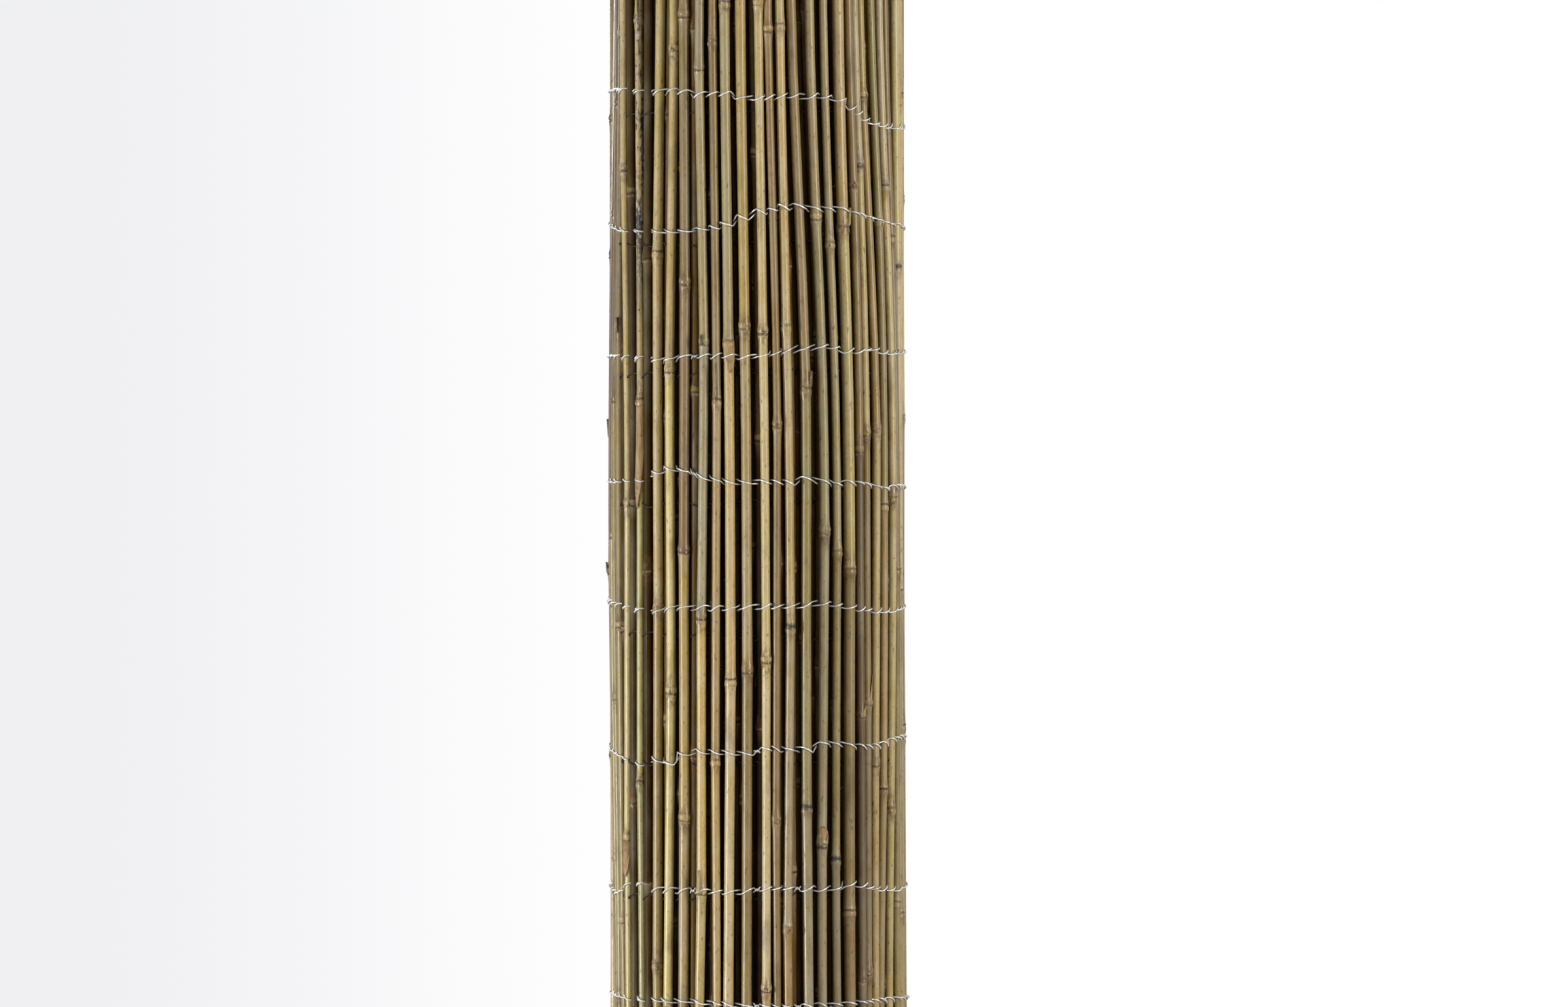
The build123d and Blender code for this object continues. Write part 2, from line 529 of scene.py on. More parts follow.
def bamboo_material(name, gloss, glaze):
    """Dried bamboo: fibre streaks, joints with a scar and a pale ring, and pale pithy ends."""
    material, tree, skin = new_material(name)
    seed_step = times(tree, attribute(tree, "seed"), 97.0)
    mould = attribute(tree, "mould")
    along = attribute(tree, "joints")
    cut = attribute(tree, "cut")

    # The place on the cane's own surface, from its middle line, stretched along the fibres
    where = add(tree, "ShaderNodeTexCoord").outputs["Object"]
    around = vector_calc(tree, "SUBTRACT", where, attribute(tree, "core", "Vector"))
    height = add(tree, "ShaderNodeSeparateXYZ", {0: where}).outputs["Z"]

    def stretched(share):
        lift = result(tree, "ShaderNodeCombineXYZ", {"Z": times(tree, height, share)})
        return vector_calc(tree, "ADD", around, lift)

    def grain(share, scale, detail, roughness):
        return noise(tree, stretched(share), scale, detail, roughness, seed_step)

    def chances(number):
        """Three random values of a joint or a stretch of this cane."""
        own = {"W": plus(tree, number, seed_step)}
        dice = add(tree, "ShaderNodeTexWhiteNoise", own, noise_dimensions="1D").outputs["Color"]
        return add(tree, "ShaderNodeSeparateColor", {0: dice}).outputs

    fine = grain(0.02, 1900.0, 2.0, 0.6)
    streaks = grain(0.035, 520.0, 4.0, 0.6)
    clouds = grain(0.4, 110.0, 4.0, 0.6)
    grains = grain(0.7, 1100.0, 2.0, 0.6)
    wobble = grain(1.0, 300.0, 2.0, 0.5)

    # Each stretch between two joints has its own shade
    own_value, own_grey, own_warm = chances(calc(tree, "FLOOR", along))
    # The tint is the cane's tone, with painted shade on the canes behind the outer turn
    colour = result(tree, "ShaderNodeHueSaturation", {
        "Hue": ramp(tree, own_warm, 0, 1, 0.495, 0.512),
        "Saturation": plus(tree, ramp(tree, clouds, 0.3, 0.7, 1.26, 0.96),
                           ramp(tree, own_grey, 0.6, 1.0, 0.0, -0.25)),
        "Value": plus(tree, ramp(tree, streaks, 0.3, 0.7, 0.88, 1.06),
                      ramp(tree, own_value, 0, 1, -0.12, 0.08),
                      ramp(tree, fine, 0.3, 0.7, -0.07, 0.06),
                      ramp(tree, grains, 0.35, 0.65, -0.07, 0.06),
                      ramp(tree, clouds, 0.3, 0.7, -0.09, 0.07)),
        "Color": attribute(tree, "tint", "Color"),
    })
    worn = add(tree, "ShaderNodeGroup", {
        "Colour": colour,
        "Place": stretched(0.35),
        "Seed": seed_step,
        "Mildew": times(tree, mould, 0.75),
        "Bloom": 0.22,
    }, node_tree=weathering).outputs

    # Joints, no two alike: a stain about them, a pale ring on the ridge, and a dark ragged scar
    nearest = calc(tree, "ROUND", along)
    above = times(tree, calc(tree, "SUBTRACT", along, nearest), attribute(tree, "spacing"))
    pale, burnt, stained = chances(nearest)
    rough_edge = times(tree, calc(tree, "SUBTRACT", wobble, 0.5), 5 * MM)
    edge = plus(tree, above, rough_edge)
    ragged = plus(tree, above, times(tree, rough_edge, 0.5))
    mottled = ramp(tree, grain(0.6, 420.0, 3.0, 0.7), 0.38, 0.62)
    stained = ramp(tree, stained, 0.1, 0.8, 0.15, 1.0)
    unstained = calc(tree, "SUBTRACT", 1.0, stained)

    def band(place, low_out, low_in, high_in, high_out, *shares):
        """A mask that is full between two heights in mm above the joint, and fades beyond them."""
        rising = ramp(tree, place, low_out * MM, low_in * MM)
        return times(tree, rising, ramp(tree, place, high_out * MM, high_in * MM), *shares)

    black = ramp(tree, grain(0.12, 160.0, 4.0, 0.6), 0.44, 0.52)
    flecks = ramp(tree, grain(0.45, 380.0, 3.0, 0.6), 0.52, 0.6)
    ridge_share = ramp(tree, pale, 0.4, 1.0, 0.0, 0.5)
    lip_share = ramp(tree, pale, 0.3, 0.8, 0.0, 0.4)
    scar_share = ramp(tree, burnt, 0.0, 0.9, 0.25, 0.9)
    char_share = ramp(tree, burnt, 0.93, 0.98, 0.0, 0.8)
    colour = worn["Colour"]
    for name, mask, paint in (
        ("mould", times(tree, black, ramp(tree, mould, 1.5, 5.0)), (24, 19, 14)),
        ("flecks in it", times(tree, flecks, ramp(tree, mould, 2.0, 5.0)), (176, 164, 136)),
        ("wax", band(edge, -18, -4, -2, -0.5, unstained, 0.3), (180, 168, 132)),
        ("stain", band(edge, -16, -4, 5, 15, mottled, stained, 0.9), (100, 72, 44)),
        ("ridge", band(edge, 0.2, 1.4, 3.4, 5.4, ridge_share), (190, 164, 116)),
        ("fringe", band(edge, -3.0, -2.0, -1.6, -0.9, mottled, 0.4), (200, 188, 158)),
        ("lip", band(edge, 4.2, 4.9, 5.2, 6.3, lip_share), (92, 68, 44)),
        ("scar", band(ragged, -1.4, -0.7, 0.1, 0.8, scar_share), (66, 47, 32)),
        ("char", band(edge, -3.0, -1.6, 1.6, 3.4, char_share, 0.9), (34, 28, 25)),
    ):
        mask.node.label = name
        colour = blend(tree, mask, colour, paint)

    # Sawn ends: pale, with the dark dots of the cut fibres
    dots = ramp(tree, noise(tree, where, 1800.0, 1.0, 0.5, seed_step), 0.5, 0.62)
    colour = blend(tree, cut, colour, blend(tree, dots, (214, 196, 152), (138, 112, 74)))
    rough = plus(tree, ramp(tree, clouds, 0.3, 0.7, 0.28, 0.44), times(tree, cut, 0.3),
                 times(tree, worn["Dirt"], 0.25))
    dress(tree, skin, colour, rough, plus(tree, fine, times(tree, streaks, 0.8)), 0.5, 0.12 * MM)
    skin.inputs["Specular IOR Level"].default_value = gloss
    skin.inputs["Coat Weight"].default_value = glaze
    skin.inputs["Coat Roughness"].default_value = 0.2
    return material


bamboo = bamboo_material("bamboo", 0.42, 0.22)
# a duller copy for the canes behind the outer turn, as painted shade: with little gloss they reflect
# little of the white surround
shaded_bamboo = bamboo_material("bamboo in painted shade", 0.1, 0.0)
sweep_canes = cane_tree()
outer_sides = 12
inner_sides = 8
outer_stretches = 4              # straight runs of a cane from one joint to the next
inner_stretches = 3
inner_shade = (0.18, 0.13, 0.085)    # painted shade: how much darker the canes behind the outer turn are coloured
shade_reach = 0.12               # how far below their tops they are as dark as that
joint_offset = 40                # keeps the numbering of joints above zero

roll = []
turns = []
for turn_name in turn_names:
    turns.append(canes_of(f"canes_{turn_name}"))
    for cane in turns[-1]:
        cane.give_character(len(roll))
        roll.append(cane)
for before, after in zip(roll, roll[1:]):
    for cane in (before, after):
        cane.kink = min(cane.kink, kink_share * before.gap_to(after))
for inner_turn in turns[1:]:
    for cane in inner_turn:
        cane.follow(turns[0])
close_pairs = [(cane, other) for place, cane in enumerate(roll) for other in roll[place + 1:]
               if cane.gap_to(other) < parting_reach]
for parting_round in range(parting_rounds):
    for cane, other in close_pairs:
        cane.part_from(other, 0)
        cane.part_from(other, 1)


def grow_stems(name, stems, sides, depth, material):
    """A piece of swept stems of bamboo, whose points carry what the bamboo material reads."""
    for stem in stems:
        for place, carried in stem:
            carried["core"] = place
            carried["end"] = 0.0
        stem[0][1]["end"] = -1.0
        stem[-1][1]["end"] = 1.0
    piece = grow(name, line_mesh(name, stems), sweep_canes, {
        "Sides": sides,
        "Wall": wall_share,
        "Hollow Depth": depth,
        "Material": material,
    })
    face_outwards(piece)
    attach(piece, "root")
    return piece


for turn_name, canes in zip(turn_names, turns):
    outer = canes is turns[0]
    profile = outer_joint if outer else inner_joint
    stems = []
    for cane in canes:
        stem = []
        for height, radius in cane.rings(profile, outer_stretches if outer else inner_stretches):
            # Painted shade darkens a cane behind the outer turn: none at its top, full at shade_reach
            # below it
            shaded = 0 if outer else min(1, (cane.top - height) / shade_reach)
            parts = zip(cane.tone_at(height), inner_shade)
            stem.append((cane.centre(height), {
                "girth": radius,
                "tint": [part * (1 - shaded + shaded * share) for part, share in parts] + [1.0],
                "joints": joint_offset + cane.tip * cane.joints_below(height),
                "mould": cane.mould_at(height),
                "seed": cane.seed,
                "spacing": cane.spacing,
            }))
        stems.append(stem)
    piece = grow_stems(f"{turn_name}_canes", stems, outer_sides if outer else inner_sides,
                       hollow_depth, bamboo if outer else shaded_bamboo)
    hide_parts(f"canes_{turn_name}")

# The branch buds
# Where a side shoot grew or was trimmed off, a joint keeps a dark scaly bud just above its scar,
# on one side of the cane and on the other side at the next joint. It is part of the cane.
bud_size = (1.3 * MM, 1.8 * MM, 3.0 * MM)
bud_lift = 0.2 * MM              # from the cane's surface to the middle of the bud
bud_chance = 0.7


def bud_tree():
    """Sets a pointed, uneven bud on each point of a mesh, turned the way that the point faces."""
    tree, given = shape_tree("set buds", {"Size": "Vector", "Raggedness": "Float"})
    ball = result(tree, "GeometryNodeMeshIcoSphere", {"Radius": 1.0, "Subdivisions": 2})
    place = result(tree, "GeometryNodeInputPosition")
    narrow = result(tree, "ShaderNodeMapRange", {
        "Value": add(tree, "ShaderNodeSeparateXYZ", {0: place}).outputs["Z"],
        "From Min": -0.2,
        "From Max": 1.0,
        "To Min": 1.0,
        "To Max": 0.35,
    })
    taper = result(tree, "ShaderNodeCombineXYZ", {"X": narrow, "Y": narrow, "Z": 1.0})
    pointed = vector_calc(tree, "MULTIPLY", place, taper)
    sized = vector_calc(tree, "MULTIPLY", pointed, given["Size"])
    bud = result(tree, "GeometryNodeSetPosition", {"Geometry": ball, "Position": sized})
    way = {"Vector": named(tree, "facing", "FLOAT_VECTOR")}
    facing = result(tree, "FunctionNodeAlignRotationToVector", way, axis="X", pivot_axis="Z")
    placed = result(tree, "GeometryNodeInstanceOnPoints", {
        "Points": given["Geometry"],
        "Instance": bud,
        "Rotation": facing,
        "Scale": named(tree, "size"),
    })
    real = result(tree, "GeometryNodeRealizeInstances", {"Geometry": placed})
    lumps = add(tree, "ShaderNodeTexNoise", {"Scale": 900.0, "Detail": 2.0}).outputs["Color"]
    lumps = vector_calc(tree, "SUBTRACT", lumps, (0.5, 0.5, 0.5))
    shift = vector_calc(tree, "MULTIPLY", lumps, given["Raggedness"])
    ragged = result(tree, "GeometryNodeSetPosition", {"Geometry": real, "Offset": shift})
    return finish_tree(tree, ragged, given)


def husk_material():
    """The dry scales of a bud: dark brown, with paler frayed edges."""
    material, tree, skin = new_material("dry bud scales")
    where = add(tree, "ShaderNodeTexCoord").outputs["Object"]
    scales = noise(tree, where, 420.0, 4.0, 0.7)
    colour = blend(tree, ramp(tree, scales, 0.4, 0.6), (66, 48, 33), (152, 122, 82))
    frayed = ramp(tree, noise(tree, where, 900.0, 2.0, 0.6, 5.0), 0.58, 0.68)
    colour = blend(tree, frayed, colour, (204, 186, 146))
    dress(tree, skin, colour, ramp(tree, scales, 0.3, 0.7, 0.45, 0.75), scales, 0.7, 0.2 * MM)
    return material


buds = []
for number, cane in enumerate(turns[0]):
    dice = random.Random(f"buds {number}")
    side_of_first = dice.uniform(0, tau)
    for joint, base in enumerate(cane.joint_heights()):
        height = base + cane.tip * bud_size[2] * dice.uniform(0.6, 1.0)
        size = dice.uniform(0.55, 1.15)
        facing = outward(side_of_first + joint * pi + dice.uniform(-0.4, 0.4))
        if dice.random() < bud_chance and end_margin * 2 < height < cane.top - end_margin * 2:
            spot = cane.centre(height) + facing * (cane.radius + bud_lift)
            buds.append([(spot, {"facing": facing, "size": size})])
branch_buds = grow("branch_buds", line_mesh("bud places", buds), bud_tree(), {
    "Size": bud_size,
    "Raggedness": 0.7 * MM,
    "Material": husk_material(),
})
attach(branch_buds, "root")

# The side shoots
# Thin shoots that were trimmed short when the canes were cleaned. Each grows from a joint and
# stands up close along its cane, hollow where it was cut. It is part of the cane.
shoot_chance = 0.07
shoot_lean = 0.07                # how far it leaves the cane, as a share of its length
shoot_foot = 1.0 * MM            # how far above the joint it begins
shoot_sunk = 0.4 * MM            # how deep its foot sits in the cane
shoot_clear = 0.2 * MM           # between the cane and the shoot, above its foot
shoot_bend = 0.12                # share of its length over which it comes clear of the cane
shoot_shade = 0.8                # its colour, as a share of the cane's
shoot_mould = 2.0
shoot_hollow = 3 * MM
shown_shoots = {10: 27 * MM, 16: 12 * MM}    # lengths of those that the photograph shows

# How thick it is along its length, with a joint of its own above its foot
shoot_bulges = (
    (0.0, 1.3), (0.08, 1.25), (0.16, 0.95), (0.5, 0.9), (0.54, 1.15), (0.6, 0.9), (1.0, 0.85),
)

shoots = []
for number, cane in enumerate(turns[0]):
    dice = random.Random(f"shoots {number}")
    place = number - canes_behind
    for base in cane.joint_heights():
        length = dice.uniform(6, 20) * MM
        facing = outward(cane.bearing + dice.uniform(-0.9, 0.9))
        girth = dice.uniform(0.8, 1.25) * MM
        wanted = dice.random() < shoot_chance
        if place in shown_shoots and level_height < base < level_height + cane.spacing:
            length = shown_shoots[place]
            wanted = True
        if not wanted or base < end_margin or base + length > cane.top - end_margin:
            continue
        seed = dice.random()
        shoot = []
        for share, bulge in shoot_bulges:
            height = base + share * length + shoot_foot
            clear = min(1, share / shoot_bend) * (girth + shoot_clear)
            clear += shoot_lean * length * share ** 1.5
            spot = cane.centre(height) + facing * (cane.radius - shoot_sunk + clear)
            shoot.append((spot, {
                "girth": girth * bulge,
                "tint": [shoot_shade * part for part in cane.tone_at(height)[:3]] + [1.0],
                "joints": joint_offset + 0.5,
                "mould": shoot_mould,
                "seed": seed,
                "spacing": 1.0,
            }))
        shoots.append(shoot)
grow_stems("side_shoots", shoots, inner_sides, shoot_hollow, bamboo)

# The leaf sheaths
# Papery brown sheaths that wrapped the young canes. Most were stripped off, and what is left of a
# few still clings above a joint, split, curled at its edges and drawn out to a torn point.
sheath_rows = 12
sheath_columns = 10
sheath_thickness = 0.22 * MM
sheath_tip = 0.12                # half of what is left of its width at the torn point, in radians
sheath_count = 14

# Those that the photograph shows: cane, height of the foot and length in mm, less than zero on a
# cane that is tied in upside down, then the bearing off the front of the cane, how far round it
# reaches, and how far its edges curl up in mm
shown_sheaths = (
    (5, 1012, -85, 0.2, 4.2, 0.7),
    (11, 1056, -25, 0.5, 2.4, 0.9),
    (17, 669, 16, -0.2, 3.2, 1.2),
    (4, 672, -28, 0.4, 3.0, 0.6),
)


def sheath_material():
    """Dry sheath: orange brown and thin, ribbed along its length, and darker in blotches."""
    material, tree, skin = new_material("dry leaf sheath")
    where = add(tree, "ShaderNodeTexCoord").outputs["Object"]
    drawn = result(tree, "ShaderNodeMapping", {"Vector": where, "Scale": (1.0, 1.0, 0.04)})
    ribs = noise(tree, drawn, 1300.0, 3.0, 0.6)
    blotches = noise(tree, where, 130.0, 4.0, 0.65, 2.0)
    colour = blend(tree, ramp(tree, ribs, 0.35, 0.65), (134, 106, 68), (182, 152, 104))
    colour = blend(tree, ramp(tree, blotches, 0.5, 0.66, 0.0, 0.8), colour, (98, 72, 46))
    dress(tree, skin, colour, ramp(tree, ribs, 0.3, 0.7, 0.5, 0.7), ribs, 0.6, 0.15 * MM)
    return material


sheath_dice = random.Random("torn sheaths")
sheaths = [(turns[0][canes_behind + place], foot * MM, length * MM, turn, wrap, curl)
           for place, foot, length, turn, wrap, curl in shown_sheaths]
for number in range(sheath_count):
    cane = sheath_dice.choice(turns[0])
    foot = sheath_dice.choice(cane.joint_heights()[:-1])
    length = cane.tip * sheath_dice.uniform(9, 24) * MM
    sheaths.append((cane, foot, length, sheath_dice.uniform(-1.2, 1.2),
                    sheath_dice.uniform(1.5, 3.4), sheath_dice.uniform(0.2, 0.9)))
sheath_shape = bmesh.new()
for cane, foot, length, turn, wrap, curl in sheaths:
    rows = []
    for row in range(sheath_rows + 1):
        share = row / sheath_rows
        narrowed = (1 - share ** sheath_dice.uniform(1.3, 1.7)) * wrap / 2 + sheath_tip
        middle = cane.centre(foot + share * length)
        corners = []
        for column in range(sheath_columns + 1):
            across = 2 * column / sheath_columns - 1
            angle = cane.bearing + turn + narrowed * across
            lift = 0.3 + share * 0.3 + curl * abs(across) ** 3 * share
            drop = sheath_dice.uniform(0, 0.03) * length * share
            out = outward(angle) * (cane.radius + lift * MM)
            corners.append(sheath_shape.verts.new(middle + out - Vector((0, 0, drop))))
        rows.append(corners)
    if length < 0:
        rows.reverse()
    for lower, upper in zip(rows, rows[1:]):
        for column in range(sheath_columns):
            face = sheath_shape.faces.new(
                (lower[column], lower[column + 1], upper[column + 1], upper[column]))
            face.smooth = True
sheath_mesh = bpy.data.meshes.new("leaf_sheaths")
sheath_shape.to_mesh(sheath_mesh)
sheath_shape.free()
sheath_mesh.materials.append(sheath_material())
leaf_sheaths = bpy.data.objects.new("leaf_sheaths", sheath_mesh)
bpy.context.scene.collection.objects.link(leaf_sheaths)
thickness = leaf_sheaths.modifiers.new("thickness", "SOLIDIFY")
thickness.thickness = sheath_thickness
thickness.offset = 1.0
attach(leaf_sheaths, "root")

# The wires
# Eighteen rows of galvanised wire. In each row two strands run side by side, one in front of a
# cane and one behind it, and they are twisted round each other in every gap.
wire_radius = 0.6 * MM           # with its zinc, a little over the drawn wire
twist_radius = 0.6 * MM          # from the middle of a twist to the middle of each strand
wide_gap = 7.5 * MM              # in a wider gap the strands are twisted three half turns
second_turn_drop = 18 * MM       # how much lower the rows run behind the outer turn
drop_begins = 43                 # the cane at which they begin to drop, counted from the free end
drop_canes = 20                  # and over how many canes they do
pigtail = 14 * MM                # the twisted end of a row, beyond its first cane
tail_half_turns = 4
wave_height = 2.0 * MM           # how far a row strays by chance in its longest wave,
wave_step = 0.11                 # and how far that wave turns, in radians, from cane to cane
fading_canes = 5                 # canes beyond the front over which a row returns to its own way
twist_shade = 0.25           # how much painted shade a wire has in a twist, and beside a cane that it crosses in front
flank_shade = 0.2            # beside a cane that it crosses in front

# The rows that the photograph shows, by their number from the floor: photo pixels along the wire
rows_seen = {
    13: ((932, 139), (969, 145), (998, 150), (1034, 145), (1066, 155), (1112, 152), (1151, 162),
         (1201, 157), (1251, 155), (1291, 157), (1316, 173), (1344, 193), (1376, 195)),
    12: ((930, 342), (953, 353), (987, 357), (1037, 360), (1109, 353), (1130, 344), (1159, 333),
         (1201, 325), (1223, 321), (1251, 326), (1291, 326), (1319, 333), (1344, 339), (1382, 350)),
    11: ((930, 544), (969, 550), (1016, 555), (1051, 548), (1130, 548), (1151, 551), (1201, 541),
         (1237, 535), (1266, 532), (1305, 541), (1334, 535), (1355, 542), (1380, 537)),
    10: ((928, 735), (987, 735), (994, 724), (1016, 722), (1034, 714), (1080, 731), (1126, 739),
         (1176, 737), (1212, 739), (1223, 731), (1284, 742), (1305, 737), (1348, 748), (1382, 744)),
    9: ((930, 913), (943, 924), (980, 931), (994, 938), (1023, 929), (1066, 926), (1112, 929),
        (1159, 924), (1194, 926), (1255, 920), (1284, 924), (1312, 929), (1355, 934), (1380, 926)),
    8: ((930, 1140), (951, 1152), (984, 1165), (998, 1154), (1030, 1162), (1041, 1149), (1069, 1143),
        (1151, 1147), (1166, 1139), (1237, 1141), (1259, 1131), (1309, 1138), (1341, 1138), (1380, 1124)),
    7: ((932, 1356), (944, 1365), (962, 1350), (991, 1345), (1001, 1354), (1080, 1354), (1130, 1356),
        (1159, 1350), (1216, 1349), (1273, 1352), (1305, 1341), (1319, 1350), (1369, 1356), (1387, 1347)),
}


def wander(number, cane, place):
    """How far a row is off its own level at a cane: as the photograph shows it, and by chance."""
    drift = random.Random(f"row {number}")
    phases = [drift.uniform(0, tau) for wave in range(3)]
    free = sum(wave_height / (wave + 1) * sin(place * wave_step * (wave + 1) ** 1.5 + phase)
               for wave, phase in enumerate(phases))
    seen = rows_seen.get(number)
    if seen is None:
        return free
    from_left = place - canes_behind
    beyond = max(-from_left, from_left - len(front_canes) + 1, 0)
    column = cane.photo_column()
    if beyond:
        column = seen[0][0] if from_left < 0 else seen[-1][0]
    before = max([spot for spot in seen if spot[0] <= column], default=seen[0])
    after = min([spot for spot in seen if spot[0] > column], default=seen[-1])
    share = (column - before[0]) / max(1, after[0] - before[0])
    photo_row = before[1] + min(1, max(0, share)) * (after[1] - before[1])
    height = level_height - (photo_row - photo_level) * photo_pixel
    fade = exp(-(beyond / fading_canes) ** 2)
    return free + fade * (height - row_levels[number] - free)


def strand_points(canes, heights, side, slant, arc, twists, tail, dice):
    """One strand through a run of canes: over or behind each in turn, and twisted in the gaps.

    Its points carry how much painted shade each has: from 0 out in front to 1 behind a cane.
    """
    points = []
    climbs = [dice.uniform(0.8, 2.3) * MM for cane in canes]

    def twisted(axis, phase, reach):
        turned = phase if side > 0 else phase + pi
        swing = outwards * cos(turned) * twist_radius + Vector((0, 0, slant * sin(turned) * reach))
        points.append((axis + swing, {"wire_shade": twist_shade}))

    for place, (cane, height) in enumerate(zip(canes, heights)):
        middle = cane.centre(height)
        outwards = outward(cane.bearing)
        onwards = Vector((-outwards.y, outwards.x, 0))
        slack = dice.uniform(0.05, 0.4) + (dice.uniform(0.3, 1.2) if dice.random() < 0.12 else 0)
        reach = cane.radius + wire_radius + slack * MM
        if place == 0 and tail:
            for step in range(2 * tail_half_turns, 0, -1):
                axis = middle - onwards * (reach + tail * step / (2 * tail_half_turns))
                twisted(axis - outwards * tail * 0.1, -step * pi / 2, twist_radius)
        for angle in arc:
            over = outwards * cos(angle) * side + onwards * sin(angle)
            lift = slant * side * climbs[place] * sin(angle / arc[-1] * pi / 2)
            wire_shade = float(max(flank_shade * (angle / arc[-1]) ** 2, -side))
            points.append((middle + over * reach + Vector((0, 0, lift)), {"wire_shade": wire_shade}))
        if place + 1 < len(canes):
            following = canes[place + 1]
            next_middle = following.centre(heights[place + 1])
            way = (next_middle - middle).normalized()
            start = middle + way * (cane.radius + wire_radius)
            stop = next_middle - way * (following.radius + wire_radius)
            gap = (stop - start).length
            half_turns = 3 if twists and gap + 2 * wire_radius > wide_gap else 1
            steps = 2 * half_turns - 1
            for step in range(1, steps + 1):
                loose = step in (1, steps)
                climb = (climbs[place] + climbs[place + 1]) / 2 if loose else twist_radius
                twisted(start.lerp(stop, step / (steps + 1)), step * pi / 2, climb)
        side = -side
    return points


def wire_tree():
    """Sweeps each line of a mesh to a strand of wire: round in front, with few sides further in."""
    tree, given = shape_tree("sweep wires", {"Radius": "Float"})
    joined = add(tree, "GeometryNodeJoinGeometry")
    for turn, sides in ((3, 3), (2, 4), (1, 6)):
        part = result(tree, "GeometryNodeSeparateGeometry", {
            "Geometry": given["Geometry"],
            "Selection": calc(tree, "COMPARE", named(tree, "turn"), float(turn), 0.5),
        }, domain="POINT")
        line = result(tree, "GeometryNodeMeshToCurve", {"Mesh": part})
        if turn == 1:
            line = result(tree, "GeometryNodeCurveSplineType", {"Curve": line}, spline_type="CATMULL_ROM")
            line = result(tree, "GeometryNodeSetSplineResolution", {"Geometry": line, "Resolution": 2})
        circle = {"Resolution": sides, "Radius": given["Radius"]}
        ring = result(tree, "GeometryNodeCurvePrimitiveCircle", circle)
        swept = {"Curve": line, "Profile Curve": ring, "Fill Caps": True}
        tube = result(tree, "GeometryNodeCurveToMesh", swept)
        tree.links.new(tube, joined.inputs[0])
    return finish_tree(tree, joined.outputs[0], given)


def zinc_material():
    """Galvanised wire: bright zinc with duller, slightly stained stretches, and painted shade, dark and
    dull, in its twists and behind the canes.
    """
    material, tree, skin = new_material("galvanised zinc")
    where = add(tree, "ShaderNodeTexCoord").outputs["Object"]
    dull = ramp(tree, noise(tree, where, 90.0, 3.0, 0.6), 0.42, 0.66)
    stain = ramp(tree, noise(tree, where, 26.0, 4.0, 0.7, 3.0), 0.62, 0.78)
    # painted shade: in a twist or behind a cane the wire is coloured dark, made less metallic and rougher
    painted_wire_shade = attribute(tree, "wire_shade")
    colour = blend(tree, dull, (240, 241, 242), (198, 200, 202))
    colour = blend(tree, times(tree, stain, 0.5), colour, (150, 138, 122))
    colour = blend(tree, painted_wire_shade, colour, (36, 30, 24))
    tree.links.new(ramp(tree, painted_wire_shade, 0, 1, 0.55, 0.1), skin.inputs["Metallic"])
    rough = plus(tree, ramp(tree, dull, 0, 1, 0.24, 0.38), times(tree, painted_wire_shade, 0.35))
    dress(tree, skin, colour, rough, noise(tree, where, 2400.0, 2.0, 0.5), 0.3, 0.05 * MM)
    return material


zinc = zinc_material()
sweep_wires = wire_tree()
outer_arc = [radians(angle) for angle in (-66, -33, 0, 33, 66)]
inner_arc = [radians(angle) for angle in (-50, 0, 50)]

row_levels = {}
for number in range(1, 19):
    low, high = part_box(f"wire_row_{number:02d}")
    row_levels[number] = (low.z + high.z) / 2

for number, level in row_levels.items():
    dice = random.Random(f"wire {number}")
    slant = 1 if number % 2 else -1
    heights = []
    for place, cane in enumerate(roll):
        behind = min(1, max(0, (place - drop_begins) / drop_canes))
        drop = second_turn_drop * behind * behind * (3 - 2 * behind)
        heights.append(level + wander(number, cane, place) - drop)
    lines = []
    first = 0
    for depth, stretch in ((1, turns[0]), (2, turns[1]), (3, sum(turns[2:], []))):
        past = first + len(stretch)
        for side in (1, -1):
            line = strand_points(roll[first:past + 1], heights[first:past + 1],
                                 side if first % 2 == 0 else -side, slant,
                                 outer_arc if depth == 1 else inner_arc,
                                 depth == 1, pigtail if first == 0 else 0, dice)
            for spot, carried in line:
                carried["turn"] = float(depth)
                # the wires behind the outer turn are in full painted shade
                if depth > 1:
                    carried["wire_shade"] = 1.0
            lines.append(line)
        first = past
    piece = grow(f"row_{number:02d}_wires", line_mesh("wire lines", lines), sweep_wires, {
        "Radius": wire_radius,
        "Material": zinc,
    })
    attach(piece, "root")
    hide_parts(f"wire_row_{number:02d}")

# The studio
# A plain pale floor under the roll, a white surround, a large soft lamp to the upper right of the
# camera, weaker ones to its left and behind the roll, and a narrow one low on the left. The
# camera looks level at the roll, a little above its middle.
scene = bpy.context.scene
floor_mesh = bpy.data.meshes.new("floor")
floor_half = 8.0                 # the far edge stays below the picture
floor_corners = [(x * floor_half, y * floor_half, 0) for x, y in ((-1, -1), (1, -1), (1, 1), (-1, 1))]
floor_mesh.from_pydata(floor_corners, [], [(0, 1, 2, 3)])
studio_floor = bpy.data.objects.new("studio_floor", floor_mesh)
scene.collection.objects.link(studio_floor)
floor_paint, floor_tree, floor_skin = new_material("pale floor")
to_camera = add(floor_tree, "ShaderNodeLightPath").outputs["Is Camera Ray"]
floor_colour = blend(floor_tree, to_camera, (236, 236, 234), (140, 140, 139))
floor_tree.links.new(floor_colour, floor_skin.inputs["Base Color"])
floor_skin.inputs["Emission Color"].default_value = linear((255, 255, 254))
floor_tree.links.new(times(floor_tree, to_camera, 0.5), floor_skin.inputs["Emission Strength"])
floor_skin.inputs["Roughness"].default_value = 0.9
floor_mesh.materials.append(floor_paint)
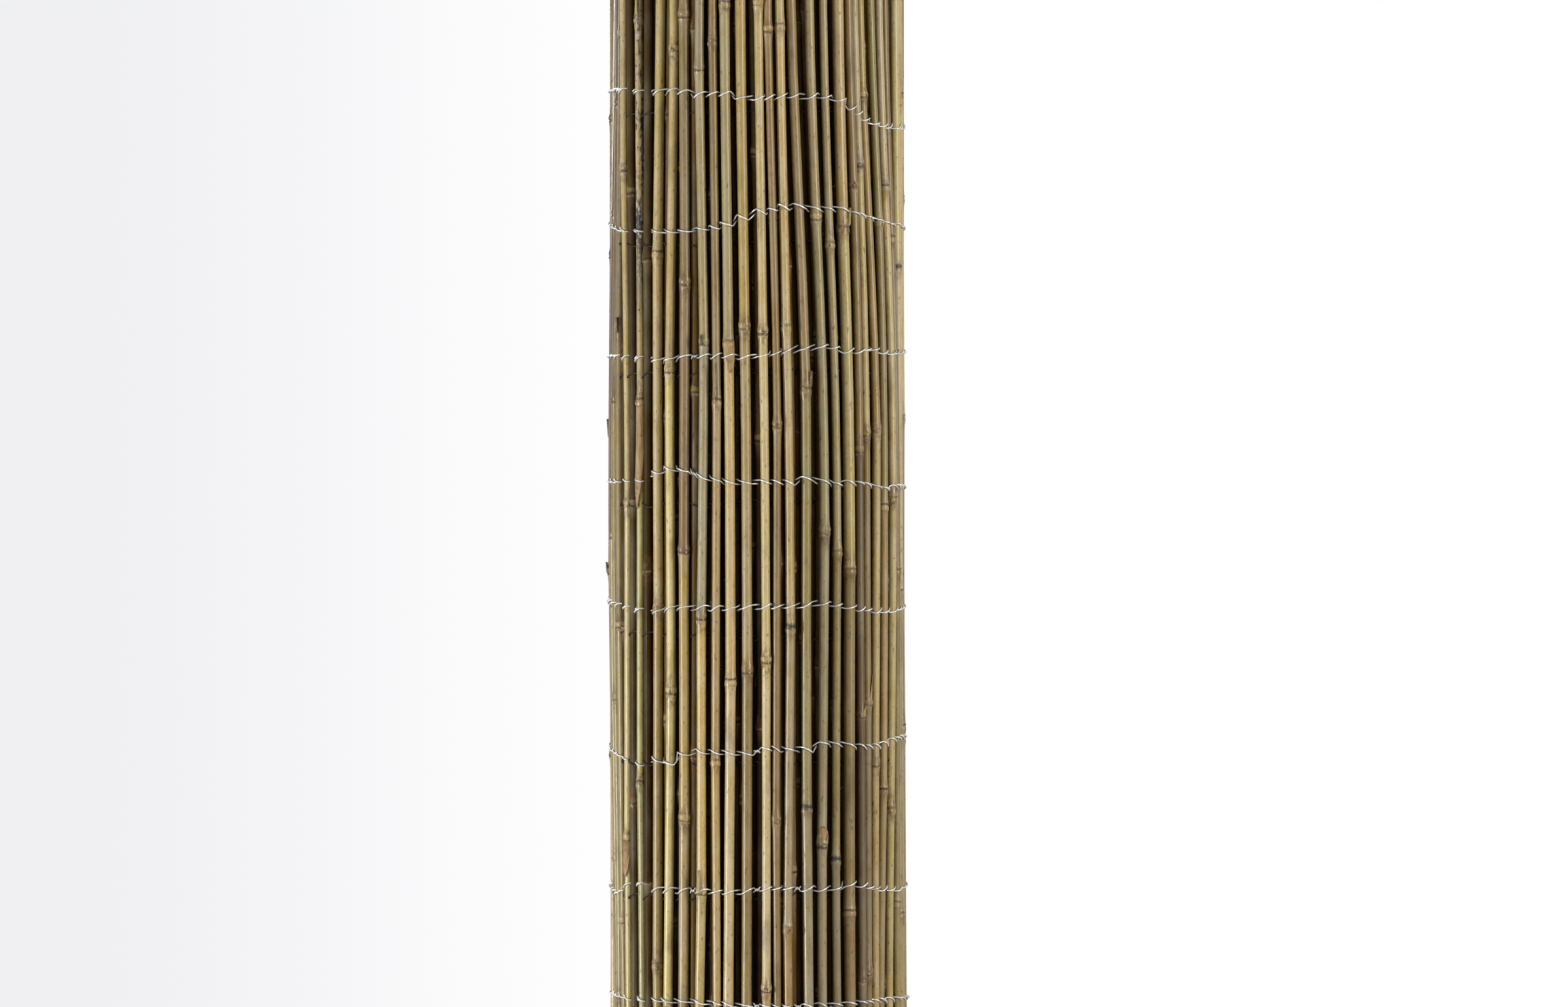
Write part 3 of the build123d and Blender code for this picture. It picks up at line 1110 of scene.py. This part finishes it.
studio_floor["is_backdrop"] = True

surround = bpy.data.worlds.new("white surround")
scene.world = surround
surround.use_nodes = True
sky = surround.node_tree
sky.nodes.clear()
heading = add(sky, "ShaderNodeSeparateXYZ", {0: add(sky, "ShaderNodeTexCoord").outputs["Generated"]})
# painted shade on the surround: a little greyer towards the left
whiteness = ramp(sky, heading.outputs["X"], -0.02, 0.05)
backdrop = blend(sky, whiteness, (240, 240, 243), (255, 255, 255))
seen_white = result(sky, "ShaderNodeBackground", {"Color": backdrop, "Strength": 1.0})
soft_light = result(sky, "ShaderNodeBackground", {"Color": linear((250, 248, 250)), "Strength": 0.2})
rays = add(sky, "ShaderNodeLightPath").outputs
seen = calc(sky, "MAXIMUM", rays["Is Camera Ray"], rays["Is Glossy Ray"])
seen = calc(sky, "MAXIMUM", seen, rays["Is Transmission Ray"])
lit = result(sky, "ShaderNodeMixShader", {0: seen, 1: soft_light, 2: seen_white})
add(sky, "ShaderNodeOutputWorld", {"Surface": lit})

# The lamps: name, place, target, width and height in metres, power in watts, and colour
for name, place, target, width, height, power, colour in (
    ("key lamp", (2.9, -2.9, 1.8), (0, 0, 1.0), 1.2, 1.8, 102, (255, 250, 240)),
    ("left lamp", (-3.2, -2.4, 1.5), (0, 0, 0.95), 2.2, 1.6, 20, (255, 252, 244)),
    ("back lamp", (-1.2, 3.3, 2.2), (0, 0, 0.95), 1.3, 1.8, 75, (255, 252, 246)),
    ("low left lamp", (-2.5, -1.1, 0.5), (0, 0, 0.6), 0.12, 0.6, 44, (255, 255, 252)),
):
    light = bpy.data.lights.new(name, "AREA")
    light.shape = "RECTANGLE"
    light.size = width
    light.size_y = height
    light.energy = power
    light.color = linear(colour)[:3]
    lamp = bpy.data.objects.new(name, light)
    scene.collection.objects.link(lamp)
    lamp.location = place
    lamp.rotation_euler = (Vector(target) - Vector(place)).to_track_quat("-Z", "Y").to_euler()

camera_distance = 7.0
photo_width = 2397
view_width = photo_width * photo_pixel
view_centre_x = (photo_width / 2 - photo_axis) * photo_pixel
camera_data = bpy.data.cameras.new("camera")
camera_data.sensor_width = 36.0
camera_data.lens = camera_data.sensor_width * camera_distance / view_width
camera_data.clip_end = 100.0
camera = bpy.data.objects.new("camera", camera_data)
scene.collection.objects.link(camera)
camera.location = (
    view_centre_x * cos(view_turn) + camera_distance * sin(view_turn),
    view_centre_x * sin(view_turn) - camera_distance * cos(view_turn),
    level_height,
)
camera.rotation_euler = (radians(90), 0, view_turn)
scene.camera = camera
scene.view_settings.view_transform = "Standard"

low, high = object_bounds()
